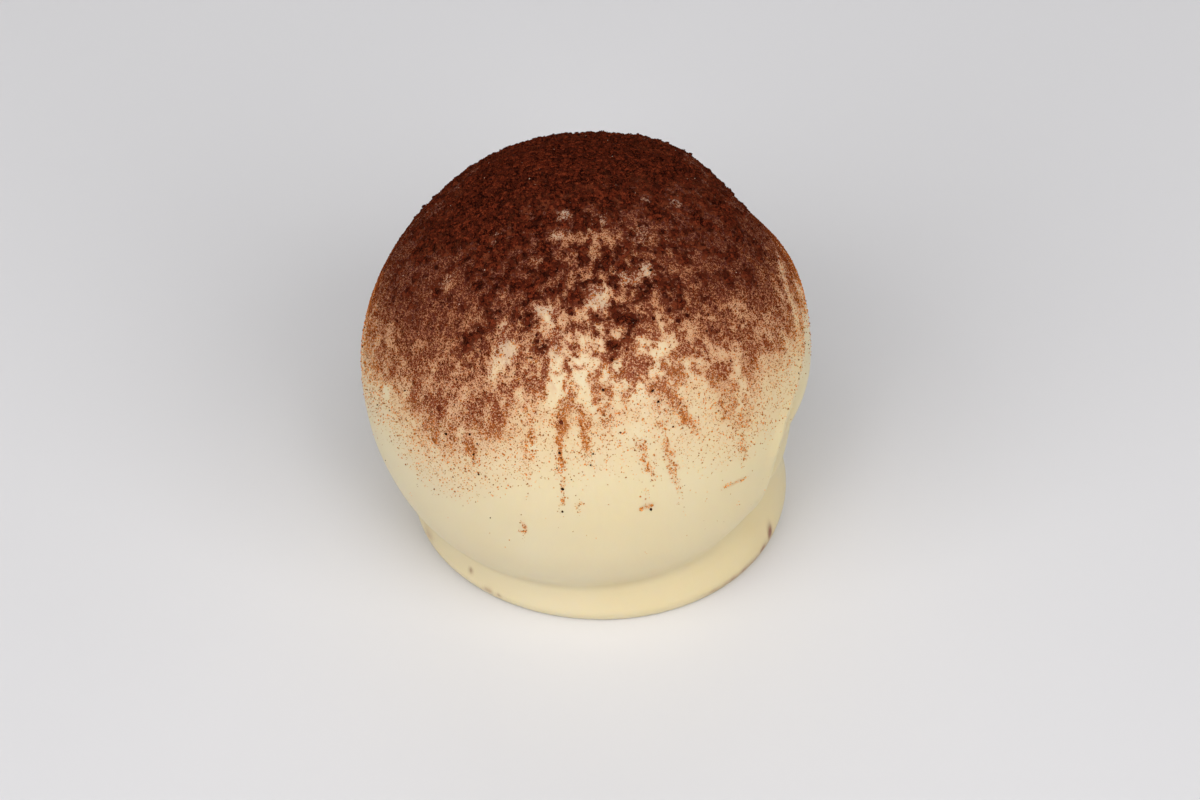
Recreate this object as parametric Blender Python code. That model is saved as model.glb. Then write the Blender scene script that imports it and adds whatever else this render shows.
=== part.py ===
"""A dipped chocolate truffle: a ball of filling under a set white coating that has run down into a foot round its base.

One solid, because the coating covers the filling all over. The form is a UV sphere whose rings are moved onto a turned
profile (round body, wall that tucks in, crease, foot, flat base) and then swelled or hollowed where the coating is uneven.
Sizes are in millimetres; azimuth is in degrees from the front (-Y) towards +X, and "down" is in degrees from the apex.
"""

from math import pi

import bmesh
import bpy
import numpy as np

NAME = "truffle"
MM = 0.001

# Turned profile, as (radius, height)
BODY_R = 15.40
BODY_Z = 12.85
WALL = ((15.10, 9.30), (14.38, 6.80), (13.25, 4.80), (12.60, 3.90))
CREASE = (12.30, 3.15)
SHOULDER = (12.50, 2.30)
RIM = (12.77, 0.95)
SOLE_R = 12.25

# The foot lies a little to the right of the body and is wider than it is deep
FOOT_RIGHT = 0.90
FOOT_OVAL = 0.30
FOOT_RISE = 0.60  # it stands higher on the right than on the left
POOL_AZIMUTH, POOL_RISE, POOL_HALF = 84, 1.2, 26  # where most of the coating ran down

# Uneven coating: azimuth, down, height, half-width round, half-width down
SWELLS = (
    (110, 72, 0.31, 16, 12),  # shoulder lump
    (129, 59, -0.38, 13, 10),  # hollow above it
    (80, 103, -1.00, 17, 11),  # hollow under it
    (-60, 112, -0.16, 24, 13),
    (175, 46, 0.30, 22, 14),
    (150, 50, 0.56, 14, 10),
    (-92, 84, 0.11, 22, 16),
    (-150, 48, 0.20, 18, 12),
    (-150, 98, 0.35, 24, 16),  # the back has its own slow swells
    (165, 108, -0.30, 20, 12),
)
# A groove down the right, where two sheets of coating met, and the soft crest above it: (azimuth, down)
GROOVE = ((70, 82), (62, 103), (54, 112), (47, 120))
GROOVE_DEPTH, GROOVE_HALF = 0.85, 2.2
CREST = ((108, 54), (92, 60), (82, 68), (72, 78), (60, 84), (54, 92))
CREST_HEIGHT, CREST_HALF = 0.22, 0.9

# Mesh rows: apex to equator, equator to the sole's edge, and the flat base
SEGMENTS, RINGS = 76, 46
EQUATOR_T, SOLE_T = 19 / RINGS, 41 / RINGS

CREAM = (0.76, 0.66, 0.43, 1)
COCOA = (0.062, 0.012, 0.005, 1)
COCOA_CENTRE, COCOA_REACH = (180, 14), 50  # the powder's middle (azimuth, down), and how far it lies thick


def smooth(x, a, b):
    t = np.clip((x - a) / (b - a), 0, 1)
    return t * t * (3 - 2 * t)


def wrap(degrees):
    return (degrees + 180) % 360 - 180


def spline(p0, p1, p2, p3, t):
    """Catmull-Rom curve from p1 to p2."""
    return 0.5 * (2 * p1 + (p2 - p0) * t + (2 * p0 - 5 * p1 + 4 * p2 - p3) * t * t + (3 * p1 - p0 - 3 * p2 + p3) * t**3)


def profile(t):
    """Radius and height at t: 0 at the apex, EQUATOR_T at the widest part, SOLE_T at the base's edge, 1 at its middle."""
    angle = np.minimum(t / EQUATOR_T, 1) * pi / 2
    dome = BODY_R * np.sin(angle), BODY_Z + BODY_R * np.cos(angle)
    up = 80 * pi / 180
    knots = np.array(
        [
            (BODY_R * np.sin(up), BODY_Z + BODY_R * np.cos(up)),
            (BODY_R, BODY_Z),
            *WALL,
            CREASE,
            SHOULDER,
            RIM,
            (SOLE_R, 0),
            (SOLE_R - 0.8, 0),
        ]
    )
    spans = len(knots) - 3
    s = np.clip((t - EQUATOR_T) / (SOLE_T - EQUATOR_T), 0, 1) * spans
    k = np.minimum(s.astype(int), spans - 1)
    wall = [spline(*(knots[k + j, i] for j in range(4)), s - k) for i in (0, 1)]
    radius, height = (np.where(t > EQUATOR_T, w, d) for w, d in zip(wall, dome))
    on_base = t > SOLE_T - 1e-6
    radius = np.where(on_base, SOLE_R * (1 - t) / (1 - SOLE_T), radius)
    return radius, np.where(on_base, 0, np.maximum(height, 0))


def near_path(path, azimuth, down):
    """Distance in mm over the body from a path, and the share of the path's points passed."""
    best, along = np.full(azimuth.shape, 1e9), np.zeros(azimuth.shape)
    mm = BODY_R * pi / 180
    for i, ((a0, d0), (a1, d1)) in enumerate(zip(path, path[1:])):
        round_mm = np.sin(np.radians((d0 + d1) / 2)) * mm
        px, py = wrap(azimuth - a0) * round_mm, (down - d0) * mm
        vx, vy = (a1 - a0) * round_mm, (d1 - d0) * mm
        u = np.clip((px * vx + py * vy) / (vx * vx + vy * vy), 0, 1)
        distance = np.hypot(px - u * vx, py - u * vy)
        along = np.where(distance < best, (i + u) / (len(path) - 1), along)
        best = np.minimum(distance, best)
    return best, along


def form(azimuth, t):
    """Points of the surface, in mm."""
    radius, height = profile(t)
    turn = np.radians(azimuth)
    down = np.degrees(np.arctan2(radius, height - BODY_Z))
    swell = np.zeros(azimuth.shape)
    for a0, d0, size, half_round, half_down in SWELLS:
        across = wrap(azimuth - a0) * np.sin(np.radians(down)) / half_round
        swell += size * np.exp(-(across**2) - ((down - d0) / half_down) ** 2)
    distance, along = near_path(GROOVE, azimuth, down)
    swell -= GROOVE_DEPTH * np.exp(-((distance / GROOVE_HALF) ** 2)) * smooth(along, -0.05, 0.45)
    distance, along = near_path(CREST, azimuth, down)
    swell += CREST_HEIGHT * np.exp(-((distance / CREST_HALF) ** 2)) * np.sqrt(np.sin(pi * np.clip(along, 0, 1)))
    foot = smooth(-height, -5.5, -1.5)
    swell *= 1 - foot
    out, up = radius, height - BODY_Z
    reach = np.maximum(np.hypot(out, up), 1e-9)
    spread = FOOT_RIGHT * np.sin(turn) - FOOT_OVAL * np.cos(2 * turn)
    rise = FOOT_RISE * np.sin(turn) + POOL_RISE * np.exp(-((wrap(azimuth - POOL_AZIMUTH) / POOL_HALF) ** 2))
    r = radius + swell * out / reach + foot * spread * np.minimum(1, radius / SOLE_R)
    z = height + swell * up / reach
    z += rise * np.clip(height / CREASE[1], 0, 1) * (1 - smooth(height, CREASE[1], 8.5))
    return np.stack([r * np.sin(turn), -r * np.cos(turn), z], -1)


def material(name, colour, roughness):
    made = bpy.data.materials.new(name)
    made.use_nodes = True
    shader = made.node_tree.nodes["Principled BSDF"]
    shader.inputs["Base Color"].default_value = colour
    shader.inputs["Roughness"].default_value = roughness
    shader.inputs["Metallic"].default_value = 0
    made.diffuse_color = colour
    return made


def truffle():
    shape = bmesh.new()
    bmesh.ops.create_uvsphere(shape, u_segments=SEGMENTS, v_segments=RINGS, radius=1)
    unit = np.array([v.co for v in shape.verts])
    t = np.arccos(np.clip(unit[:, 2], -1, 1)) / pi
    azimuth = np.degrees(np.arctan2(unit[:, 0], -unit[:, 1]))
    for vert, place in zip(shape.verts, form(azimuth, t) * MM):
        vert.co = place
    bmesh.ops.recalc_face_normals(shape, faces=shape.faces)
    a, d = np.radians(COCOA_CENTRE)
    centre = np.array((np.sin(d) * np.sin(a), -np.sin(d) * np.cos(a), np.cos(d)))
    middle = np.array((0, 0, BODY_Z * MM))
    for face in shape.faces:
        way = np.array(face.calc_center_median()) - middle
        face.material_index = int(way @ centre > np.cos(np.radians(COCOA_REACH)) * np.linalg.norm(way))
    mesh = bpy.data.meshes.new(NAME)
    shape.to_mesh(mesh)
    shape.free()
    mesh.materials.append(material("white_coating", CREAM, 0.38))
    mesh.materials.append(material("cocoa_powder", COCOA, 0.95))
    mesh.shade_smooth()
    return bpy.data.objects.new(NAME, mesh)


for old in list(bpy.data.objects):
    bpy.data.objects.remove(old, do_unlink=True)

collection = bpy.data.collections.new("dusted_truffle")
bpy.context.scene.collection.children.link(collection)
collection.objects.link(truffle())
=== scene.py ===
"""Looks of the dipped chocolate truffle: a satin white coating, run down into a foot, under cocoa that was sifted on from above
and a little behind. The powder is real: a rough layer where it lies thick, and loose grains of several sizes where it thins
out.

Lengths in the shape functions are millimetres. Azimuth is in degrees from the front (-Y) towards +X, and "down" is in degrees
from the apex, seen from the middle of the ball.
"""

from math import pi

import bpy
import numpy as np
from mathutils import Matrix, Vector

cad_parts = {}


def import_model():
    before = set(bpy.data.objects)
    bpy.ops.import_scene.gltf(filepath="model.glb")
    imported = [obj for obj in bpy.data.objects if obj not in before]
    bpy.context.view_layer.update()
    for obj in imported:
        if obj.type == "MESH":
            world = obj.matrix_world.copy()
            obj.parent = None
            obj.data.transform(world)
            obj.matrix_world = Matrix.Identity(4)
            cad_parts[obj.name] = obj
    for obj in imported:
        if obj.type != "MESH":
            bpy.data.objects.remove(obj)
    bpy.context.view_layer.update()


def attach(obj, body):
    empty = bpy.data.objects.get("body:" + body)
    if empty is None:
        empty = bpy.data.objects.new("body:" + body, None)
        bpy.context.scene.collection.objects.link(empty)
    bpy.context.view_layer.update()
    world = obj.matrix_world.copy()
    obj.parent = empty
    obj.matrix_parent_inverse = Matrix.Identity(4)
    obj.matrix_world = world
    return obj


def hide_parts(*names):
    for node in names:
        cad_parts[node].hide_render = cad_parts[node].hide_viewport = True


MM = 0.001

# ---------------------------------------------------------------- the form, as the frame has it
BODY_R = 15.40
BODY_Z = 12.85
WALL = ((15.10, 9.30), (14.38, 6.80), (13.25, 4.80), (12.60, 3.90))
CREASE = (12.30, 3.15)
SHOULDER = (12.50, 2.30)
RIM = (12.77, 0.95)
SOLE_R = 12.25
FOOT_RIGHT = 0.90
FOOT_OVAL = 0.30
FOOT_RISE = 0.60
POOL_AZIMUTH, POOL_RISE, POOL_HALF = 84, 1.2, 26
SWELLS = (  # azimuth, down, height, half-width round, half-width down
    (110, 72, 0.31, 16, 12),
    (129, 59, -0.38, 13, 10),
    (80, 103, -1.00, 17, 11),
    (-60, 112, -0.16, 24, 13),
    (175, 46, 0.30, 22, 14),
    (150, 50, 0.56, 14, 10),
    (-92, 84, 0.11, 22, 16),
    (-150, 48, 0.20, 18, 12),
    (-150, 98, 0.35, 24, 16),
    (165, 108, -0.30, 20, 12),
)
GROOVE = ((72, 82), (66, 103), (59, 112), (51, 119))
GROOVE_DEPTH, GROOVE_HALF = 0.60, 2.2
CREST = ((108, 54), (92, 60), (82, 68), (72, 78), (60, 84), (54, 92))
CREST_HEIGHT, CREST_HALF = 0.22, 0.9
# The rounded edge of the sheet of coating in front, over the hollow on the right: finer than the frame has it
LIP = ((78, 74), (67, 79), (60, 83), (56, 90), (55, 98), (55, 106), (53, 113), (49, 118), (43, 122))
LIP_DEPTH, LIP_REACH, LIP_RIM = 1.25, 2.4, 0.16
EQUATOR_T, SOLE_T = 19 / 46, 41 / 46


def smooth(x, a, b):
    t = np.clip((x - a) / (b - a), 0, 1)
    return t * t * (3 - 2 * t)


def wrap(degrees):
    return (degrees + 180) % 360 - 180


def spline(p0, p1, p2, p3, t):
    """Catmull-Rom curve from p1 to p2."""
    return 0.5 * (2 * p1 + (p2 - p0) * t + (2 * p0 - 5 * p1 + 4 * p2 - p3) * t * t + (3 * p1 - p0 - 3 * p2 + p3) * t**3)


def profile(t):
    """Radius and height at t: 0 at the apex, EQUATOR_T at the widest part, SOLE_T at the base's edge, 1 at its middle."""
    angle = np.minimum(t / EQUATOR_T, 1) * pi / 2
    dome = BODY_R * np.sin(angle), BODY_Z + BODY_R * np.cos(angle)
    up = 80 * pi / 180
    knots = np.array(
        [
            (BODY_R * np.sin(up), BODY_Z + BODY_R * np.cos(up)),
            (BODY_R, BODY_Z),
            *WALL,
            CREASE,
            SHOULDER,
            RIM,
            (SOLE_R, 0),
            (SOLE_R - 0.8, 0),
        ]
    )
    spans = len(knots) - 3
    s = np.clip((t - EQUATOR_T) / (SOLE_T - EQUATOR_T), 0, 1) * spans
    k = np.minimum(s.astype(int), spans - 1)
    wall = [spline(*(knots[k + j, i] for j in range(4)), s - k) for i in (0, 1)]
    radius, height = (np.where(t > EQUATOR_T, w, d) for w, d in zip(wall, dome))
    on_base = t > SOLE_T - 1e-6
    radius = np.where(on_base, SOLE_R * (1 - t) / (1 - SOLE_T), radius)
    return radius, np.where(on_base, 0, np.maximum(height, 0))


def near_path(path, azimuth, down):
    """Distance in mm over the body from a path, the share of the path's points passed, and the side: 1 is towards +azimuth."""
    best, along, side = np.full(azimuth.shape, 1e9), np.zeros(azimuth.shape), np.zeros(azimuth.shape)
    mm = BODY_R * pi / 180
    for i, ((a0, d0), (a1, d1)) in enumerate(zip(path, path[1:])):
        round_mm = np.sin(np.radians((d0 + d1) / 2)) * mm
        px, py = wrap(azimuth - a0) * round_mm, (down - d0) * mm
        vx, vy = (a1 - a0) * round_mm, (d1 - d0) * mm
        u = np.clip((px * vx + py * vy) / (vx * vx + vy * vy), 0, 1)
        distance = np.hypot(px - u * vx, py - u * vy)
        along = np.where(distance < best, (i + u) / (len(path) - 1), along)
        side = np.where(distance < best, np.sign(vy * px - vx * py), side)
        best = np.minimum(distance, best)
    return best, along, side


def form(azimuth, t):
    """Points of the surface, in mm."""
    radius, height = profile(t)
    turn = np.radians(azimuth)
    down = np.degrees(np.arctan2(radius, height - BODY_Z))
    swell = np.zeros(azimuth.shape)
    for a0, d0, size, half_round, half_down in SWELLS:
        across = wrap(azimuth - a0) * np.sin(np.radians(down)) / half_round
        swell += size * np.exp(-(across**2) - ((down - d0) / half_down) ** 2)
    distance, along, _ = near_path(GROOVE, azimuth, down)
    swell -= GROOVE_DEPTH * np.exp(-((distance / GROOVE_HALF) ** 2)) * smooth(along, -0.05, 0.45)
    distance, along, _ = near_path(CREST, azimuth, down)
    swell += CREST_HEIGHT * np.exp(-((distance / CREST_HALF) ** 2)) * np.sqrt(np.sin(pi * np.clip(along, 0, 1)))
    distance, along, side = near_path(LIP, azimuth, down)
    out = distance * side
    drop = smooth(out, -0.10, 0.32) * np.exp(-((np.maximum(out, 0) / LIP_REACH) ** 2)) * LIP_DEPTH
    rim = LIP_RIM * np.exp(-(((out + 0.40) / 0.50) ** 2))
    swell += (rim - drop) * smooth(along, -0.05, 0.30) * (1 - smooth(along, 0.72, 1.0))
    foot = smooth(-height, -5.5, -1.5)
    swell *= 1 - foot
    out, up = radius, height - BODY_Z
    reach = np.maximum(np.hypot(out, up), 1e-9)
    spread = FOOT_RIGHT * np.sin(turn) - FOOT_OVAL * np.cos(2 * turn)
    rise = FOOT_RISE * np.sin(turn) + POOL_RISE * np.exp(-((wrap(azimuth - POOL_AZIMUTH) / POOL_HALF) ** 2))
    r = radius + swell * out / reach + foot * spread * np.minimum(1, radius / SOLE_R)
    z = height + swell * up / reach
    z += rise * np.clip(height / CREASE[1], 0, 1) * (1 - smooth(height, CREASE[1], 8.5))
    return np.stack([r * np.sin(turn), -r * np.cos(turn), z], -1)


def down_of(t):
    radius, height = profile(t)
    return np.degrees(np.arctan2(radius, height - BODY_Z))


def t_of(down):
    t = np.linspace(0, SOLE_T, 4001)
    return np.interp(down, down_of(t), t)


def surface(azimuth, down):
    """Points and outward unit normals at these angles, in mm."""
    t = t_of(down)
    step = 0.35
    narrow = np.maximum(np.sin(np.radians(down)), 0.02)
    point = form(azimuth, t)
    east = form(azimuth + step / narrow, t) - form(azimuth - step / narrow, t)
    south = form(azimuth, t_of(down + step)) - form(azimuth, t_of(np.maximum(down - step, 0)))
    normal = np.cross(south, east)
    normal /= np.maximum(np.linalg.norm(normal, axis=-1, keepdims=True), 1e-12)
    return point, normal


# ---------------------------------------------------------------- noise
def gradients(seed):
    g = np.random.default_rng(seed).normal(size=(256, 3))
    return g / np.linalg.norm(g, axis=1, keepdims=True)


def noise(p, seed=0):
    """Gradient noise, about -1 to 1, at points (n, 3)."""
    g = gradients(seed)
    cell = np.floor(p).astype(np.int64)
    f = p - cell
    u = f * f * f * (f * (f * 6 - 15) + 10)
    total = np.zeros(len(p))
    for i in range(8):
        c = np.array([i >> 2 & 1, i >> 1 & 1, i & 1])
        q = cell + c
        h = (q[:, 0] * 73856093 ^ q[:, 1] * 19349663 ^ q[:, 2] * 83492791) + seed * 2654435
        h = (h ^ h >> 13) * 1274126177
        dots = (g[(h ^ h >> 16) & 255] * (f - c)).sum(1)
        w = np.where(c, u, 1 - u)
        total += w[:, 0] * w[:, 1] * w[:, 2] * dots
    return total * 1.7


def way(azimuth, down):
    """Points of the plain ball, in mm: the space that the powder's pattern is made in."""
    a, d = np.radians(azimuth), np.radians(down)
    return BODY_R * np.stack([np.sin(d) * np.sin(a), -np.sin(d) * np.cos(a), np.cos(d)], -1)


# ---------------------------------------------------------------- where the cocoa lies
# azimuth: down at which the powder covers 90 %, 50 % and 10 %
COVER = (
    (-180, 56, 70, 84),
    (-135, 57, 72, 86),
    (-105, 60, 71, 83),
    (-90, 60, 70, 81),
    (-75, 52, 72, 84),
    (-60, 50, 69, 79),
    (-45, 41, 70, 85),
    (-30, 39, 65, 80),
    (-15, 31, 49, 70),
    (0, 25, 45, 67),
    (15, 26, 46, 67),
    (30, 28, 45, 71),
    (45, 36, 56, 75),
    (60, 38, 60, 73),
    (75, 47, 62, 74),
    (90, 49, 63, 76),
    (135, 54, 69, 83),
)
# Bare and thin patches, and clumps and streaks: azimuth, down, half-width and half-length in mm, lean in degrees (the lower end
# towards +azimuth), amount
STROKES = (
    (-41, 9, 0.45, 0.35, 0, -0.55),
    (-5, 15, 2.60, 0.85, 0, -0.08),
    (-28, 15, 0.50, 0.35, 40, -0.36),
    (47, 18, 1.00, 0.70, 0, -0.16),
    (-55, 15, 2.50, 2.00, 0, -0.10),
    (60, 15, 4.50, 3.50, 0, -0.09),
    (30, 9, 1.60, 1.20, 0, -0.06),
    (48, 28, 2.50, 3.00, 0, -0.05),
    (-116, 14, 0.50, 0.25, 0, -0.28),
    (11, 4, 0.30, 0.22, 0, -0.10),
    (91, 15, 0.40, 0.30, 0, -0.32),
    (96, 23, 0.50, 0.35, 30, -0.34),
    (108, 30, 0.45, 0.35, 0, -0.28),
    (25, 9, 1.00, 0.60, 0, -0.14),
    (100, 25, 1.50, 1.20, 0, -0.13),
    (-33, 23, 0.45, 0.45, 40, -0.24),
    (-66, 25, 0.65, 0.35, -30, -0.38),
    (5, 31, 0.80, 0.85, 0, -0.54),
    (-3, 27, 1.20, 0.45, 0, -0.16),
    (30, 26, 1.20, 0.60, 0, -0.14),
    (22, 27, 0.66, 0.48, 0, -0.46),
    (36, 27, 0.38, 0.48, 0, -0.44),
    (-18, 35, 0.85, 0.65, 0, -0.46),
    (-12, 39, 0.40, 0.70, 30, -0.22),
    (-35, 36, 0.50, 0.40, 0, -0.14),
    (-65, 41, 0.80, 0.75, 0, -0.28),
    (-44, 43, 0.45, 0.80, 0, -0.20),
    (-32, 42, 0.35, 0.50, 25, -0.32),
    (-28, 47, 0.75, 0.85, 0, -0.58),
    (-30, 52, 0.50, 0.60, 0, -0.30),
    (-4, 41, 0.45, 0.45, 0, -0.15),
    (-11, 45, 0.40, 0.90, 0, -0.38),
    (-10, 53, 0.42, 1.50, 0, -0.42),
    (-1, 49, 0.36, 0.70, 0, -0.24),
    (6, 49, 0.42, 0.60, 0, -0.34),
    (26, 45, 0.76, 1.00, 10, -0.14),
    (19, 44, 0.40, 0.50, 0, -0.24),
    (62, 48, 0.45, 0.70, 20, -0.12),
    (33, 61, 1.30, 1.60, 10, -0.14),
    (14, 64, 0.90, 1.00, 0, -0.12),
    (-20, 60, 0.40, 0.90, 0, -0.10),
    (-64, 76, 0.40, 0.55, 0, -0.45),
    (8, 21, 2.00, 0.50, 0, 0.12),
    (-28, 29, 1.60, 0.90, 0, 0.12),
    (14, 36, 0.90, 0.80, 0, 0.14),
    (19, 39, 0.60, 0.50, 0, 0.18),
    (-17, 45, 0.55, 0.95, 0, 0.32),
    (-3, 43, 0.28, 0.34, 0, 0.24),
    (3, 43, 0.34, 0.55, 0, 0.28),
    (10, 43, 0.50, 0.70, 0, 0.26),
    (-4, 53, 0.32, 1.20, 14, 0.32),
    (3, 55, 0.38, 0.50, 0, 0.26),
    (12, 54, 0.80, 0.70, 0, 0.20),
    (5, 60, 0.70, 0.50, -30, 0.24),
    (-8, 57, 0.22, 0.45, 0, 0.30),
    (-7, 62, 0.28, 0.90, 5, 0.34),
    (-7, 69, 0.27, 1.60, 5, 0.28),
    (-6, 79, 0.20, 1.00, 0, 0.30),
    (-6, 83, 0.17, 0.50, 0, 0.26),
    (-2, 84, 0.20, 0.40, 0, 0.26),
    (0, 65, 0.34, 1.30, 5, 0.40),
    (-17, 60, 0.35, 0.60, 0, 0.22),
    (-15, 68, 0.34, 1.30, 0, 0.40),
    (-24, 65, 0.45, 0.90, 0, 0.22),
    (-15, 78, 0.24, 1.10, 0, 0.12),
    (-16, 94, 0.14, 0.90, 0, 0.48),
    (26, 59, 0.30, 1.70, 18, 0.30),
    (14, 68, 0.32, 0.50, 0, 0.24),
    (16, 74, 0.22, 1.30, 12, 0.36),
    (15, 83, 0.18, 0.60, 15, 0.26),
    (22, 73, 0.26, 2.60, 8, 0.38),
    (29, 66, 0.30, 0.90, 20, 0.30),
    (43, 68, 0.95, 2.20, 5, 0.14),
    (43, 80, 0.28, 0.90, 0, 0.28),
    (-45, 72, 1.00, 2.80, 0, 0.12),
    (-43, 72, 0.45, 2.20, 0, 0.16),
    (-31, 76, 0.50, 1.40, 0, 0.22),
    (-30, 65, 0.90, 1.30, 0, 0.10),
)
# The top of the crest has lost its powder
BARE_LINE = ((102, 57), (94, 57), (87, 60), (83, 64), (80, 67), (76, 71))
# Smears of cocoa that the coating had drawn in: azimuth, down, half-width, half-length, lean, amount
SMEARS = (
    (15, 86, 0.40, 0.13, 20, 0.5),
    (40, 89, 0.80, 0.13, -8, 0.5),
)


# Stains on the foot's rim, where it met the board: azimuth, down, half-width, half-length, amount
STAINS = (
    (67, 132.3, 0.26, 0.24, 1.00),
    (63, 133.3, 0.34, 0.16, 0.75),
    (57, 134, 2.60, 0.25, 0.45),
    (44, 134, 1.60, 0.20, 0.25),
    (-66, 132, 0.60, 0.22, 0.35),
    (-34, 133, 0.35, 0.20, 0.35),
    (-42, 131, 0.18, 0.14, 0.50),
    (-30, 133, 0.18, 0.14, 0.50),
)
# The largest dark specks, low on the front: azimuth, down, size in mm
SPECKS = (
    (-39, 73, 0.20),
    (-32, 70, 0.17),
    (-30, 75, 0.20),
    (-28, 80, 0.17),
    (-7, 69, 0.19),
    (-6, 79, 0.19),
    (-6, 86, 0.16),
    (5, 53, 0.22),
    (20, 55, 0.20),
    (21, 58, 0.18),
    (1, 72, 0.15),
    (37, 27, 0.22),
    (16, 87, 0.22),
)


def cover(azimuth, down):
    """Share of the surface that cocoa covers, from below 0 (bare) to above 1 (thick); how thick it lies there at large; and how
    much of it a bare patch has lost."""
    p = way(azimuth, down)
    mm = BODY_R * pi / 180
    narrow = np.maximum(np.sin(np.radians(down)), 0.03)
    # A ragged edge: every place is looked up a little away from where it is
    shift_a = 0.40 * noise(p / 1.9, 1) + 0.30 * noise(p / 0.75, 2) + 0.16 * noise(p / 0.33, 11)
    shift_d = 0.40 * noise(p / 1.9, 3) + 0.30 * noise(p / 0.75, 4) + 0.16 * noise(p / 0.33, 12)
    a = azimuth + shift_a / (mm * narrow)
    d = down + shift_d / mm
    knots = np.array(COVER, float)
    at = np.concatenate([knots[:, 0], [180]])
    c90, c50, c10 = (np.interp(wrap(a), at, np.concatenate([knots[:, i], knots[:1, i]])) for i in (1, 2, 3))
    distance, along, side = near_path(LIP, azimuth, down)
    hollow = smooth(distance * side, 0, 0.4) * np.exp(-((distance / 7) ** 2)) * smooth(down, 70, 78)
    base = (1 - 0.85 * hollow) * np.where(
        d < c90,
        0.9 + 0.22 * smooth((c90 - d), 0, 30),
        np.where(
            d < c50,
            0.9 - 0.4 * (d - c90) / (c50 - c90),
            np.where(d < c10, 0.5 - 0.4 * (d - c50) / (c10 - c50), 0.1 - 0.1 * smooth(d, c10, c10 + 12)),
        ),
    )
    # Single patches and streaks keep their place, with a ragged edge
    shift_a, shift_d = (
        0.26 * noise(p / 0.75, k) + 0.24 * noise(p / 0.33, k + 1) + 0.12 * noise(p / 0.16, k + 2) for k in (31, 34)
    )
    a, d = azimuth + shift_a / (mm * narrow), down + shift_d / mm
    more, less = np.zeros(len(p)), np.zeros(len(p))
    for a0, d0, half_across, half_down, lean, amount in STROKES:
        x, y = wrap(a - a0) * mm * narrow, (d - d0) * mm
        near = (abs(x) < 8) & (abs(y) < 8)
        x, y = x[near], y[near]
        s, c = np.sin(np.radians(lean)), np.cos(np.radians(lean))
        u, v = (x * c - y * s) / half_across, (x * s + y * c) / half_down
        (more if amount > 0 else less)[near] += amount * np.exp(-((u * u + v * v) ** 1.2))
    more *= 1 + 0.7 * noise(p / 0.30, 16) + 0.6 * noise(p / 0.16, 17)
    distance, along, _ = near_path(BARE_LINE, a, d)
    less -= 0.36 * np.exp(-((distance / 0.22) ** 2)) * smooth(along, -0.02, 0.15) * (1 - smooth(along, 0.60, 0.92))
    broad = base + more + less
    turn = np.radians(azimuth)
    along = np.stack([np.sin(turn) * 13, -np.cos(turn) * 13, down * 0.085], -1)
    streak = noise(along, 5) * 0.6 + noise(along * 2.1, 6) * 0.5
    streak *= smooth(down, 14, 40)
    # Clumps with gaps between them: strongest in front, where the powder slid
    clump = 0.50 * noise(p / 1.6, 7) + 0.62 * noise(p / 0.8, 8) + 0.50 * noise(p / 0.4, 9) + 0.30 * noise(p / 0.2, 10)
    clump = np.tanh(clump / 0.30)
    front = np.exp(-((wrap(azimuth - 6) / 36) ** 2))
    wide = np.exp(-((wrap(azimuth - 3) / 52) ** 2)) * smooth(down, 8, 16)
    high = np.maximum(front * smooth(down, 2, 12), 0.75 * wide) * (1 - smooth(down, 50, 64))
    low = front * smooth(down, 50, 62)
    room = np.clip(broad, 0, 1.3)
    depth = smooth(room, 0, 0.45) * (1 - smooth(room, 1.00, 1.22))
    uneven = depth * ((0.17 + 0.20 * low) * streak + (0.12 + 0.28 * high) * clump)
    return broad + uneven, base + 0.35 * more + less + 0.9 * np.minimum(uneven, 0) + 0.2 * np.maximum(uneven, 0), -less


def loose(full, broad):
    """Share of the surface under grains that can be told apart, over the film of finest dust."""
    dark = 0.75 * np.clip(broad, 0, 1) ** 1.4
    return np.clip((full - dark) / (1 - dark), 0, 1)


# ---------------------------------------------------------------- mesh makers
def new_mesh(name, points, faces, sides):
    """A mesh object from arrays; every face has this many sides."""
    mesh = bpy.data.meshes.new(name)
    mesh.vertices.add(len(points))
    mesh.vertices.foreach_set("co", np.ascontiguousarray(points * MM, np.float32).ravel())
    mesh.loops.add(len(faces) * sides)
    mesh.loops.foreach_set("vertex_index", np.ascontiguousarray(faces, np.int32).ravel())
    mesh.polygons.add(len(faces))
    mesh.polygons.foreach_set("loop_start", np.arange(len(faces), dtype=np.int32) * sides)
    mesh.update(calc_edges=True)
    mesh.validate()
    mesh.shade_smooth()
    piece = bpy.data.objects.new(name, mesh)
    bpy.context.scene.collection.objects.link(piece)
    return piece


def attribute(piece, name, values):
    made = piece.data.attributes.new(name, "FLOAT", "POINT")
    made.data.foreach_set("value", np.ascontiguousarray(values, np.float32))


def lay_flat(piece, azimuth, reach):
    """A texture map seen from above, with the apex in the middle: reach is 0 there and 1 at the map's edge."""
    turn = np.radians(azimuth)
    uv = 0.5 + 0.49 * reach[:, None] * np.stack([np.sin(turn), -np.cos(turn)], -1)
    corners = np.empty(len(piece.data.loops), np.int32)
    piece.data.loops.foreach_get("vertex_index", corners)
    made = piece.data.uv_layers.new(name="OFBake")
    made.data.foreach_set("uv", np.ascontiguousarray(uv[corners], np.float32).ravel())


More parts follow.
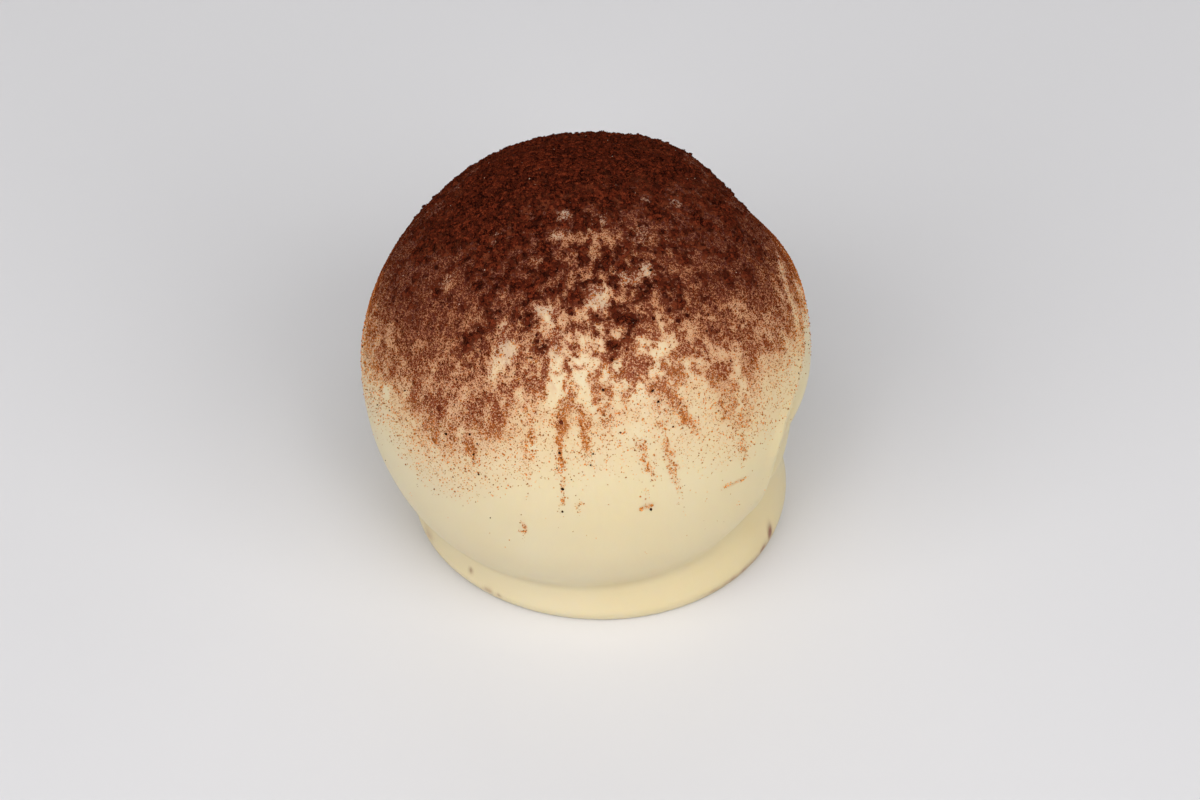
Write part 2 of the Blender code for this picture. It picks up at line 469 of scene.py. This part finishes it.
def ring_mesh(spacing, last_down):
    """Rings of points round the apex, evenly spaced over the ball, and the triangles that join them."""
    step = spacing * 0.866 / BODY_R * 180 / pi
    downs = np.arange(0, last_down, step)
    azimuth, down, starts, counts = [], [], [], []
    total = 0
    for i, d in enumerate(downs):
        n = max(1, round(2 * pi * BODY_R * np.sin(np.radians(d)) / spacing)) if i else 1
        azimuth.append((np.arange(n) + 0.5 * (i % 2)) * 360 / n)
        down.append(np.full(n, d))
        starts.append(total)
        counts.append(n)
        total += n
    faces = []
    for i in range(len(downs) - 1):
        (a, n), (b, m) = (starts[i], counts[i]), (starts[i + 1], counts[i + 1])
        if n == 1:
            j = np.arange(m)
            faces.append(np.stack([np.full(m, a), b + j, b + (j + 1) % m], -1))
            continue
        mid_a = (azimuth[i] + 180 / n) % 360
        mid_b = (azimuth[i + 1] + 180 / m) % 360
        # Each side of one ring is joined to the point of the other ring that faces it
        j = np.round((mid_a - azimuth[i + 1][0]) * m / 360).astype(int) % m
        k = np.floor((mid_b - azimuth[i][0]) * n / 360 + 0.5).astype(int) % n
        order = np.concatenate([mid_a, mid_b])
        upper = np.concatenate([np.ones(n, bool), np.zeros(m, bool)])
        index = np.concatenate([np.arange(n), np.arange(m)])
        go = np.argsort(order, kind="stable")
        upper, index = upper[go], index[go]
        # Walk both rings together from the first sides
        count_a, count_b = np.cumsum(upper), np.cumsum(~upper)
        first_a = index[upper][0]
        first_b = index[~upper][0]
        here_a = (first_a + count_a - upper) % n
        here_b = (first_b + count_b - ~upper) % m
        faces.append(
            np.where(
                upper[:, None],
                np.stack([a + here_a, b + here_b, a + (here_a + 1) % n], -1),
                np.stack([a + here_a, b + here_b, b + (here_b + 1) % m], -1),
            )
        )
    return np.concatenate(azimuth), np.concatenate(down), np.concatenate(faces)


def keep_faces(points, faces, wanted, *values):
    faces = faces[wanted]
    used, index = np.unique(faces, return_inverse=True)
    return points[used], index.reshape(faces.shape), [v[used] for v in values]


def shapes(kind):
    """Corner points and triangles of one grain."""
    if kind == "tetra":
        p = np.array([(1, 1, 1), (1, -1, -1), (-1, 1, -1), (-1, -1, 1)]) / 3**0.5
        f = np.array([(0, 1, 2), (0, 3, 1), (0, 2, 3), (1, 3, 2)])
    elif kind == "octa":
        p = np.array([(1, 0, 0), (-1, 0, 0), (0, 1, 0), (0, -1, 0), (0, 0, 1), (0, 0, -1)], float)
        f = np.array([(4, 0, 2), (4, 2, 1), (4, 1, 3), (4, 3, 0), (5, 2, 0), (5, 1, 2), (5, 3, 1), (5, 0, 3)])
    else:
        g = (1 + 5**0.5) / 2
        p = np.array(
            [(-1, g, 0), (1, g, 0), (-1, -g, 0), (1, -g, 0), (0, -1, g), (0, 1, g), (0, -1, -g), (0, 1, -g)]
            + [(g, 0, -1), (g, 0, 1), (-g, 0, -1), (-g, 0, 1)]
        ) / (1 + g * g) ** 0.5
        f = np.array(
            [(0, 11, 5), (0, 5, 1), (0, 1, 7), (0, 7, 10), (0, 10, 11), (1, 5, 9), (5, 11, 4), (11, 10, 2)]
            + [(10, 7, 6), (7, 1, 8), (3, 9, 4), (3, 4, 2), (3, 2, 6), (3, 6, 8), (3, 8, 9), (4, 9, 5)]
            + [(2, 4, 11), (6, 2, 10), (8, 6, 7), (9, 8, 1)]
        )
    return p, f


def grain_cloud(name, kind, rng, azimuth, down, height, size, flat, material, thin):
    """Loose grains of one kind, joined into one piece. Each has its own turn, size, stretch and tone."""
    n = len(azimuth)
    corners, triangles = shapes(kind)
    k = len(corners)
    point, normal = surface(azimuth, down)
    q = rng.normal(size=(n, 4))
    q /= np.linalg.norm(q, axis=1, keepdims=True)
    w, x, y, z = q.T
    turn = np.stack(
        [
            np.stack([1 - 2 * (y * y + z * z), 2 * (x * y - z * w), 2 * (x * z + y * w)], -1),
            np.stack([2 * (x * y + z * w), 1 - 2 * (x * x + z * z), 2 * (y * z - x * w)], -1),
            np.stack([2 * (x * z - y * w), 2 * (y * z + x * w), 1 - 2 * (x * x + y * y)], -1),
        ],
        1,
    )
    local = corners[None] * (1 + rng.uniform(-0.28, 0.28, (n, k, 1)))
    local = local * rng.uniform(0.75, 1.3, (n, 1, 3))
    local = np.einsum("nij,nkj->nki", turn, local) * (size[:, None, None] / 2)
    # Pressed flatter along the surface's normal
    across = (local * normal[:, None]).sum(-1, keepdims=True)
    local = local - across * (1 - flat) * normal[:, None]
    place = point + normal * (height + size * 0.5 * flat * 0.45)[:, None]
    points = (place[:, None] + local).reshape(-1, 3)
    faces = (triangles[None] + (np.arange(n) * k)[:, None, None]).reshape(-1, 3)
    piece = new_mesh(name, points, faces, 3)
    piece.data.shade_flat()
    attribute(piece, "tone", np.repeat(rng.random(n), k))
    attribute(piece, "thin", np.repeat(thin, k))
    # Each grain has a cell of its own in the texture
    side = int(np.ceil(n**0.5))
    cell = np.stack([np.arange(n) % side, np.arange(n) // side], -1)[:, None, None] + 0.5
    spread = np.array([(-0.34, -0.3), (0.34, -0.3), (0, 0.36)])[None, None]
    uv = np.broadcast_to((cell + spread) / side, (n, len(triangles), 3, 2))
    piece.data.uv_layers.new(name="OFBake").data.foreach_set("uv", np.ascontiguousarray(uv, np.float32).ravel())
    piece.data.materials.append(material)
    return piece


# ---------------------------------------------------------------- materials
class Nodes:
    """A short way to write a node material."""

    def __init__(self, name):
        self.material = bpy.data.materials.new(name)
        self.material.use_nodes = True
        self.tree = self.material.node_tree
        self.shader = self.tree.nodes["Principled BSDF"]
        self.place = self.add("ShaderNodeTexCoord").outputs["Object"]

    def add(self, kind, **settings):
        node = self.tree.nodes.new(kind)
        for key, value in settings.items():
            setattr(node, key, value)
        return node

    def link(self, out, into):
        self.tree.links.new(out, into)

    def value(self, name):
        return self.add("ShaderNodeAttribute", attribute_name=name).outputs["Fac"]

    def noise(self, per_mm, detail=2.0, rough=0.5, squash=None):
        node = self.add("ShaderNodeTexNoise")
        node.inputs["Scale"].default_value = per_mm / MM
        node.inputs["Detail"].default_value = detail
        node.inputs["Roughness"].default_value = rough
        source = self.place
        if squash:
            mapping = self.add("ShaderNodeMapping")
            mapping.inputs["Scale"].default_value = squash
            self.link(source, mapping.inputs["Vector"])
            source = mapping.outputs["Vector"]
        self.link(source, node.inputs["Vector"])
        return node.outputs["Fac"]

    def dots(self, per_mm, share):
        """Round dots, no two alike, that cover about this share."""
        node = self.add("ShaderNodeTexVoronoi")
        node.inputs["Scale"].default_value = per_mm / MM
        self.link(self.place, node.inputs["Vector"])
        luck = self.add("ShaderNodeSeparateColor")
        self.link(node.outputs["Color"], luck.inputs[0])
        reach = self.math("SUBTRACT", self.math("MULTIPLY", share, 1.15), self.math("MULTIPLY", luck.outputs[0], 0.55))
        return self.spread(self.math("SUBTRACT", reach, node.outputs["Distance"]), -0.34, -0.20)

    def math(self, how, a, b=None, clamp=False):
        node = self.add("ShaderNodeMath", operation=how, use_clamp=clamp)
        for value, socket in zip((a, b), node.inputs):
            if value is None:
                continue
            if isinstance(value, (int, float)):
                socket.default_value = value
            else:
                self.link(value, socket)
        return node.outputs[0]

    def spread(self, value, low, high, to_low=0.0, to_high=1.0, soft=True):
        node = self.add("ShaderNodeMapRange", interpolation_type="SMOOTHSTEP" if soft else "LINEAR")
        for socket, number in zip(list(node.inputs)[1:5], (low, high, to_low, to_high)):
            socket.default_value = number
        self.link(value, node.inputs[0])
        return node.outputs[0]

    def ramp(self, value, *stops):
        node = self.add("ShaderNodeValToRGB")
        ramp = node.color_ramp
        while len(ramp.elements) < len(stops):
            ramp.elements.new(0.5)
        for element, (at, colour) in zip(ramp.elements, stops):
            element.position = at
            element.color = (*colour, 1)
        self.link(value, node.inputs["Fac"])
        return node.outputs["Color"]

    def mix(self, share, a, b, how="MIX"):
        node = self.add("ShaderNodeMix", data_type="RGBA", blend_type=how)
        sockets = [s for s in node.inputs if s.type == "RGBA"]
        factor = node.inputs[0]
        for value, socket in ((share, factor), (a, sockets[0]), (b, sockets[1])):
            if isinstance(value, (int, float)):
                socket.default_value = value
            elif isinstance(value, tuple):
                socket.default_value = (*value, 1)
            else:
                self.link(value, socket)
        return next(s for s in node.outputs if s.type == "RGBA")

    def bump(self, height, distance_mm, strength=1.0):
        node = self.add("ShaderNodeBump")
        node.inputs["Distance"].default_value = distance_mm * MM
        node.inputs["Strength"].default_value = strength
        self.link(height, node.inputs["Height"])
        self.link(node.outputs["Normal"], self.shader.inputs["Normal"])


CREAM = (0.708, 0.613, 0.402)
FILM = (  # share of fine dust: colour
    (0.00, CREAM),
    (0.20, (0.695, 0.520, 0.312)),
    (0.40, (0.645, 0.390, 0.218)),
    (0.60, (0.565, 0.274, 0.132)),
    (0.80, (0.415, 0.150, 0.068)),
    (1.00, (0.205, 0.054, 0.027)),
)
BARE_FILM_AND_SHADE = (0.53, 0.38, 0.26)  # in a patch that has lost its powder: a thin film of fine dust, darkened further as painted shade
DUST_THIN = (0.58, 0.200, 0.032)
DUST_MIDDLE = (0.245, 0.050, 0.013)
SMEAR = (0.52, 0.185, 0.035)
STAIN = (0.22, 0.070, 0.035)
COCOA_LIGHT = (0.185, 0.0330, 0.0125)
COCOA = (0.088, 0.0120, 0.0045)
COCOA_THIN = (0.150, 0.0360, 0.0145)
COCOA_DARK = (0.018, 0.0036, 0.0020)


def coating_material():
    m = Nodes("white_coating")
    s = m.shader
    tint = m.mix(m.spread(m.noise(0.11, 3), 0.35, 0.68), (1, 1, 1), (0.985, 0.96, 0.90))
    # Painted light: the right and left walls are tinted yellower, as they lack the cool floor reflection of the front
    # wall
    tint = m.mix(m.value("painted_side_warmth"), tint, (0.995, 0.965, 0.865))
    # In the hollow beyond the lip the coating is painted darker and more olive: painted shade
    tint = m.mix(m.value("painted_hollow_shade"), tint, (0.92, 0.865, 0.70))
    haze, share = m.value("haze"), m.value("share")
    colour = m.mix(1.0, m.ramp(haze, *FILM), tint, "MULTIPLY")
    # Bare patches near the top: a film of fine dust, and painted shade over it
    lost = m.math("MULTIPLY", m.value("bare"), m.spread(haze, 0.1, 0.4))
    colour = m.mix(m.math("MULTIPLY", lost, 0.85), colour, BARE_FILM_AND_SHADE)
    dust = m.ramp(haze, (0.12, DUST_THIN), (0.50, DUST_MIDDLE), (0.90, COCOA))
    # Dust too fine to be loose grains: round dots of two sizes, larger and more of them where more dust lies
    few = m.math("MINIMUM", share, 0.42)
    dots = m.math("MAXIMUM", m.dots(7.0, few), m.dots(12.0, few))
    colour = m.mix(m.math("MULTIPLY", dots, m.spread(share, 0.02, 0.12)), colour, dust)
    colour = m.mix(m.value("smear"), colour, SMEAR)
    colour = m.mix(m.value("stain"), colour, STAIN)
    m.link(colour, s.inputs["Base Color"])
    rough = m.spread(haze, 0.1, 0.8, 0.38, 0.85)
    m.link(m.math("ADD", rough, m.math("MULTIPLY", m.noise(0.8, 2), 0.06)), s.inputs["Roughness"])
    s.inputs["Subsurface Weight"].default_value = 0.6
    s.inputs["Subsurface Radius"].default_value = (1.0, 0.75, 0.4)
    s.inputs["Subsurface Scale"].default_value = 0.0015
    s.inputs["Specular IOR Level"].default_value = 0.22
    m.bump(m.math("ADD", m.noise(0.75, 3, 0.5, (1, 1, 0.3)), m.math("MULTIPLY", m.noise(6, 2), 0.12)), 0.05, 0.5)
    return m.material


def cocoa_material():
    m = Nodes("cocoa_powder")
    s = m.shader
    tone = m.math("ADD", m.math("MULTIPLY", m.noise(1.1, 2), 0.25), m.math("MULTIPLY", m.noise(4.2, 2, 0.6), 0.7))
    tone = m.math("ADD", tone, m.math("MULTIPLY", m.noise(9.0, 1), 1.05))
    # Lighter on the lump tops and darker in the crevices between them, by the height in rise: painted shade
    tone = m.math("ADD", m.math("SUBTRACT", tone, 1.0), m.math("MULTIPLY", m.value("rise"), 0.55))
    colour = m.ramp(tone, (0.12, COCOA_DARK), (0.29, COCOA), (0.50, COCOA_LIGHT))
    colour = m.mix(m.math("MULTIPLY", m.value("thin"), 0.85), colour, COCOA_THIN)
    # Lighter flecks: partly lighter grains, partly painted glints
    light_fleck_and_glint = m.noise(10.0, 1)
    colour = m.mix(m.spread(light_fleck_and_glint, 0.66, 0.72, 0, 0.5), colour, (0.30, 0.080, 0.030))
    m.link(colour, s.inputs["Base Color"])
    m.link(m.spread(light_fleck_and_glint, 0.3, 0.7, 0.9, 1.0), s.inputs["Roughness"])
    s.inputs["Specular IOR Level"].default_value = 0.0
    m.bump(m.math("ADD", m.noise(7.5, 3, 0.7), m.noise(16, 1)), 0.06, 0.9)
    return m.material


def grain_material(name, thick, middle, thin):
    m = Nodes(name)
    s = m.shader
    colour = m.ramp(m.value("thin"), (0.0, thick), (0.45, middle), (1.0, thin))
    shade = m.ramp(m.value("tone"), (0.0, (0.45, 0.45, 0.45)), (0.6, (1, 1, 1)), (1.0, (1.5, 1.45, 1.4)))
    colour = m.mix(1.0, colour, shade, "MULTIPLY")
    m.link(colour, s.inputs["Base Color"])
    m.link(m.spread(m.value("tone"), 0, 1, 0.7, 0.95), s.inputs["Roughness"])
    s.inputs["Specular IOR Level"].default_value = 0.02
    return m.material


# ---------------------------------------------------------------- pieces
def make_coating():
    columns, rows = 420, 175
    t = np.concatenate([t_of(np.linspace(0, 90, 96))[:-1], np.linspace(EQUATOR_T, SOLE_T, rows - 95 - 8)])
    t = np.concatenate([t, SOLE_T + (1 - SOLE_T) * np.linspace(0.02, 1, 9)])
    azimuth = np.arange(columns) * 360 / columns
    grid_a, grid_t = np.meshgrid(azimuth, t[1:-1])
    grid_a, grid_t = grid_a.ravel(), grid_t.ravel()
    points = np.concatenate([form(np.zeros(1), np.zeros(1)), form(grid_a, grid_t), form(np.zeros(1), np.ones(1))])
    n = len(t) - 2
    i, j = np.meshgrid(np.arange(n - 1), np.arange(columns), indexing="ij")
    k = (j + 1) % columns
    a, b, c, d = (1 + i * columns + j, 1 + (i + 1) * columns + j, 1 + (i + 1) * columns + k, 1 + i * columns + k)
    faces = np.concatenate([np.stack([a, b, c], -1).reshape(-1, 3), np.stack([a, c, d], -1).reshape(-1, 3)])
    j = np.arange(columns)
    k = (j + 1) % columns
    end = len(points) - 1
    last = 1 + (n - 1) * columns
    faces = np.concatenate(
        [faces, np.stack([0 * j, 1 + j, 1 + k], -1), np.stack([last + j, 0 * j + end, last + k], -1)]
    )
    down = np.concatenate([[0], np.where(grid_t < SOLE_T, down_of(grid_t), 150), [180]])
    turn = np.concatenate([[0], grid_a, [0]])
    full, broad, bare = cover(turn, np.minimum(down, 130))
    away = smooth(-down, -125, -110)
    smear = np.zeros(len(points))
    mm = BODY_R * pi / 180
    for a0, d0, across, length, lean, amount in SMEARS:
        x, y = wrap(turn - a0) * mm * np.sin(np.radians(d0)), (down - d0) * mm
        s, c = np.sin(np.radians(lean)), np.cos(np.radians(lean))
        u, v = (x * c - y * s) / across, (x * s + y * c) / length
        smear += amount * np.exp(-(u * u) - v * v)
    stain = np.zeros(len(points))
    for a0, d0, across, length, amount in STAINS:
        x, y = wrap(turn - a0) * mm * np.sin(np.radians(d0)), (down - d0) * mm
        stain += amount * np.exp(-(np.abs(x / across) ** 3) - (y / length) ** 2)
    piece = new_mesh("white_coating", points, faces, 3)
    share = loose(full, broad)
    # Near the top, bare patches keep some haze: partly a film of fine dust, partly painted shade
    haze = np.maximum(np.clip(broad, 0, 1), 0.28 * smooth(bare, 0.20, 0.50) * (1 - smooth(down, 52, 60)))
    attribute(piece, "haze", haze * away)
    attribute(piece, "bare", smooth(bare, 0.10, 0.45))
    # Where the walls are painted yellower, away from the front wall's cool floor reflection: painted light
    painted_side_warmth = np.exp(-((wrap(turn - 60) / 40) ** 2)) * smooth(down, 52, 78)
    painted_side_warmth += 0.5 * np.exp(-((wrap(turn + 80) / 30) ** 2)) * smooth(down, 60, 80)
    attribute(piece, "painted_side_warmth", painted_side_warmth)
    # The hollow beyond the lip, painted darker for the shade that falls in it: painted shade
    distance, along, side = near_path(LIP, turn, down)
    painted_hollow_shade = smooth(distance * side, -0.1, 0.5) * np.exp(-((distance / 5) ** 2)) * smooth(down, 74, 84)
    attribute(piece, "painted_hollow_shade", painted_hollow_shade * smooth(along, 0.02, 0.25) * (1 - smooth(along, 0.8, 1.0)))
    attribute(piece, "share", share * (0.3 + 0.7 * smooth(share, 0.20, 0.60)) * away)
    attribute(piece, "smear", np.clip(smear, 0, 1))
    attribute(piece, "stain", np.clip(stain * (1 + 0.8 * noise(way(turn, down) / 0.5, 41)), 0, 1))
    lay_flat(piece, turn, np.concatenate([[0], grid_t, [1]]))
    piece.data.materials.append(coating_material())
    return piece


def relief(azimuth, down):
    """Clumps with crevices between them, 0 to 1, and finer grit, about -1 to 1."""
    p = way(azimuth, down)
    lumps = 0.40 * noise(p / 0.62, 21) + 0.65 * noise(p / 0.30, 22)
    return smooth(lumps, -0.35, 0.35), noise(p / 0.17, 23)


def layer_height(full, lumps, grit):
    """Height of the thick powder over the coating, in mm: below 0 where it breaks up."""
    thick = smooth(full, 0.94, 1.12)
    return np.clip((full - 0.94) * 0.5 + (lumps - 0.5) * 0.06 + grit * 0.05, -0.06, 0.04) + thick * (
        0.14 * lumps + 0.045 * grit
    )


def make_layer(material):
    azimuth, down, faces = ring_mesh(0.118, 92)
    full = cover(azimuth, down)[0]
    lumps, grit = relief(azimuth, down)
    height = layer_height(full, lumps, grit)
    point, normal = surface(azimuth, down)
    wanted = height[faces].max(1) > -0.012
    points, faces, (full, rise, turn, down) = keep_faces(
        *(point + normal * height[:, None], faces, wanted, full),
        *(np.clip(lumps * 0.75 + grit * 0.35, 0, 1), azimuth, down),
    )
    piece = new_mesh("cocoa_layer", points, faces, 3)
    # rise, the height of the lumps, darkens the crevices in the cocoa's colour: painted shade
    attribute(piece, "rise", rise)
    attribute(piece, "thin", 1 - smooth(full, 0.92, 1.10))
    lay_flat(piece, turn, down / 92)
    piece.data.materials.append(material)
    return piece


def smeared(rng):
    """The grains along the smears: azimuth, down, size."""
    rows = []
    for a0, d0, across, length, lean, amount in SMEARS:
        # Two little heaps and a trail
        u = np.concatenate([rng.normal(-0.9, 0.16, 16), rng.normal(0.8, 0.2, 16), rng.uniform(-1.5, 1.5, 14)])
        v = length * (rng.normal(0, 0.6, 46) + 0.5 * np.sin(2.2 * u))
        u = across * u
        s, c = np.sin(np.radians(lean)), np.cos(np.radians(lean))
        x, y = u * c + v * s, v * c - u * s
        mm = BODY_R * pi / 180
        rows.append(np.stack([a0 + x / (mm * np.sin(np.radians(d0))), d0 + y / mm, rng.uniform(0.07, 0.13, 46)]))
    return np.concatenate(rows, 1)


def make_grains():
    """Loose grains. Each place of one random pool gets a grain of one kind, or none, by how many of each kind lie there."""
    rng = np.random.default_rng(11)
    last_down, pool = 104, 190  # degrees, and places to a square millimetre
    tries = int(pool * 2 * pi * BODY_R**2 * (1 - np.cos(np.radians(last_down))))
    down = np.degrees(np.arccos(1 - rng.random(tries) * (1 - np.cos(np.radians(last_down)))))
    azimuth = rng.uniform(-180, 180, tries)
    full, broad, _ = cover(azimuth, down)
    share = loose(full, broad)
    height = np.maximum(layer_height(full, *relief(azimuth, down)), 0)
    thin = 1 - smooth(broad, 0.05, 0.95)
    apart = -np.log(1 - np.minimum(share, 0.75)) * (1 - 0.88 * smooth(share, 0.35, 0.7))
    dust = grain_material("cocoa_dust", (0.090, 0.016, 0.005), (0.30, 0.066, 0.013), (0.70, 0.260, 0.042))
    grit = grain_material("cocoa_grit", (0.080, 0.013, 0.004), (0.21, 0.044, 0.011), (0.58, 0.195, 0.034))
    clump = grain_material("cocoa_clump", (0.068, 0.0110, 0.0042), (0.085, 0.017, 0.007), (0.12, 0.030, 0.012))
    speck = grain_material("dark_speck", (0.030, 0.010, 0.006), (0.045, 0.013, 0.007), (0.085, 0.024, 0.010))
    glint_grain_material = grain_material("painted_glint", (0.62, 0.46, 0.34), (0.62, 0.46, 0.34), (0.62, 0.46, 0.34))
    # name, shape, most, grains to a square millimetre, smallest and largest in mm, flatness, how deep they sit, material
    kinds = (
        ("cocoa_fines", "tetra", 49900, 152 * apart + 1.6 * smooth(broad, 0.1, 0.5), (0.048, 0.078), 0.80, 0, dust),
        ("cocoa_dust", "tetra", 49800, 152 * apart + 0.4 + 1.2 * smooth(broad, 0.1, 0.5), (0.070, 0.110), 0.75, 0, dust),
        ("cocoa_grit", "octa", 24900, 78 * apart, (0.080, 0.155), 0.75, 0, grit),
        ("cocoa_clumps", "ico", 9900, 17 * smooth(full, 0.85, 1.10), (0.130, 0.330), 0.75, 0.25, clump),
        # Small pale grains on the thick powder that stand in for bright glints: painted glints
        ("painted_glints", "octa", 400, 0.14 * smooth(full, 0.5, 0.9), (0.040, 0.085), 0.90, -0.3, glint_grain_material),
        ("dark_specks", "ico", 400, 0.7 * np.clip(full, 0, 0.55) + 0.02, (0.070, 0.160), 0.80, 0, speck),
    )
    draw = rng.random(tries) * pool
    made, low = [], 0
    for name, shape, most, density, (small, large), flat, sunk, material in kinds:
        density = density * (broad > 0)
        chosen = np.flatnonzero((draw >= low) & (draw < low + density))
        chosen = chosen[:most]
        low = low + density
        size = small + (large - small) * rng.random(len(chosen)) ** 2
        a, d, h, t = azimuth[chosen], down[chosen], height[chosen], thin[chosen]
        if name in ("dark_specks", "cocoa_dust"):
            more_a, more_d, more_size = np.array(SPECKS, float).T if name == "dark_specks" else smeared(rng)
            a, d, size = np.append(a, more_a), np.append(d, more_d), np.append(size, more_size)
            h, t = np.append(h, 0 * more_a), np.append(t, 0 * more_a + (name == "cocoa_dust"))
        made.append(grain_cloud(name, shape, rng, a, d, h - sunk * size, size, flat, material, t))
    return made


# The floor is a round sheet in front of a pale sweep; radius in m
FLOOR_R = 0.45


def make_floor():
    turn = np.arange(96) * 2 * pi / 96
    mesh = bpy.data.meshes.new("floor")
    mesh.from_pydata([(FLOOR_R * np.cos(a), FLOOR_R * np.sin(a), 0) for a in turn], [], [range(96)])
    floor = bpy.data.objects.new("floor", mesh)
    bpy.context.scene.collection.objects.link(floor)
    m = Nodes("floor")
    shade = m.noise(0.02, 3)
    m.link(m.mix(shade, (0.69, 0.685, 0.685), (0.72, 0.715, 0.717)), m.shader.inputs["Base Color"])
    m.shader.inputs["Roughness"].default_value = 0.8
    m.shader.inputs["Specular IOR Level"].default_value = 0.2
    mesh.materials.append(m.material)
    return floor


def make_backdrop():
    """The sweep beyond the floor: only a low camera sees it, and it lights nothing."""
    rings, sides = 48, 96
    rise = np.linspace(0, 1, rings + 1) ** 2
    turn = np.arange(sides) * 2 * pi / sides
    rise, turn = (grid.ravel() for grid in np.meshgrid(rise, turn, indexing="ij"))
    reach = FLOOR_R + 0.8 * np.sin(rise * pi / 2)
    points = np.stack([reach * np.cos(turn), reach * np.sin(turn), 0.9 * (1 - np.cos(rise * pi / 2))], -1) / MM
    k, j = np.arange(rings)[:, None] * sides, np.arange(sides)[None]
    near, far = k + j, k + (j + 1) % sides
    faces = np.stack([near, near + sides, far + sides, far], -1).reshape(-1, 4)
    backdrop = new_mesh("backdrop", points, faces, 4)
    # The sweep's light is painted: it glows, paler higher up and brighter low in front, to meet the floor's lit edge
    attribute(backdrop, "painted_glow_height", smooth(points[:, 2], 0, 75))
    attribute(backdrop, "front", smooth(-FLOOR_R * np.sin(turn), -0.12, 0.14))  # the floor's edge is brighter there
    m = Nodes("backdrop")
    m.shader.inputs["Base Color"].default_value = (0, 0, 0, 1)
    m.shader.inputs["Specular IOR Level"].default_value = 0
    low = m.mix(m.value("front"), (0.388, 0.388, 0.397), (0.615, 0.615, 0.623))
    m.link(m.mix(m.value("painted_glow_height"), low, (0.65, 0.65, 0.66)), m.shader.inputs["Emission Color"])
    m.shader.inputs["Emission Strength"].default_value = 1
    backdrop.data.materials.append(m.material)
    backdrop.visible_diffuse = backdrop.visible_glossy = backdrop.visible_transmission = False
    backdrop.visible_volume_scatter = backdrop.visible_shadow = False
    return backdrop


def aim(item, target):
    item.rotation_euler = (Vector(target) - item.location).to_track_quat("-Z", "Y").to_euler()


def area_light(name, place, target, size, watts, colour):
    light = bpy.data.lights.new(name, "AREA")
    light.shape = "RECTANGLE"
    light.size, light.size_y = size
    light.energy = watts
    light.color = colour
    item = bpy.data.objects.new(name, light)
    item.location = place
    bpy.context.scene.collection.objects.link(item)
    aim(item, target)


# Softboxes, all 0.55 m away: name, azimuth, elevation, watts
SOFTBOXES = (
    ("left", -45, 35, 1.45),
    ("right", 45, 35, 1.42),
    ("top", 0, 60, 1.38),
    ("back", 180, 35, 0.36),
)


def make_light():
    world = bpy.data.worlds.new("studio")
    world.use_nodes = True
    back = world.node_tree.nodes["Background"]
    back.inputs["Color"].default_value = (0.95, 0.97, 1.0, 1)
    back.inputs["Strength"].default_value = 0.15
    bpy.context.scene.world = world
    for name, azimuth, up, watts in SOFTBOXES:
        a, e = np.radians(azimuth), np.radians(up)
        place = 0.55 * np.array([np.cos(e) * np.sin(a), -np.cos(e) * np.cos(a), np.sin(e)])
        area_light(name, place, (0, 0, 0.01), (0.40, 0.40), watts, (1.0, 0.993, 1.01))
    bpy.context.scene.view_settings.view_transform = "Standard"


def make_camera():
    camera = bpy.data.cameras.new("camera")
    camera.lens, camera.sensor_width = 130, 36
    camera.clip_start, camera.clip_end = 0.01, 20
    item = bpy.data.objects.new("camera", camera)
    target = Vector((0.88, 0, 9.38)) * MM
    up = 44 * pi / 180
    item.location = target + Vector((0, -np.cos(up), np.sin(up))) * 299.86 * MM
    bpy.context.scene.collection.objects.link(item)
    aim(item, target)
    bpy.context.scene.camera = item


def main():
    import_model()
    make_camera()
    make_light()
    make_floor()
    make_backdrop()
    coating = make_coating()
    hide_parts("truffle")
    powder = [make_layer(cocoa_material()), *make_grains()]
    for piece in [coating, *powder]:
        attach(piece, "root")


main()
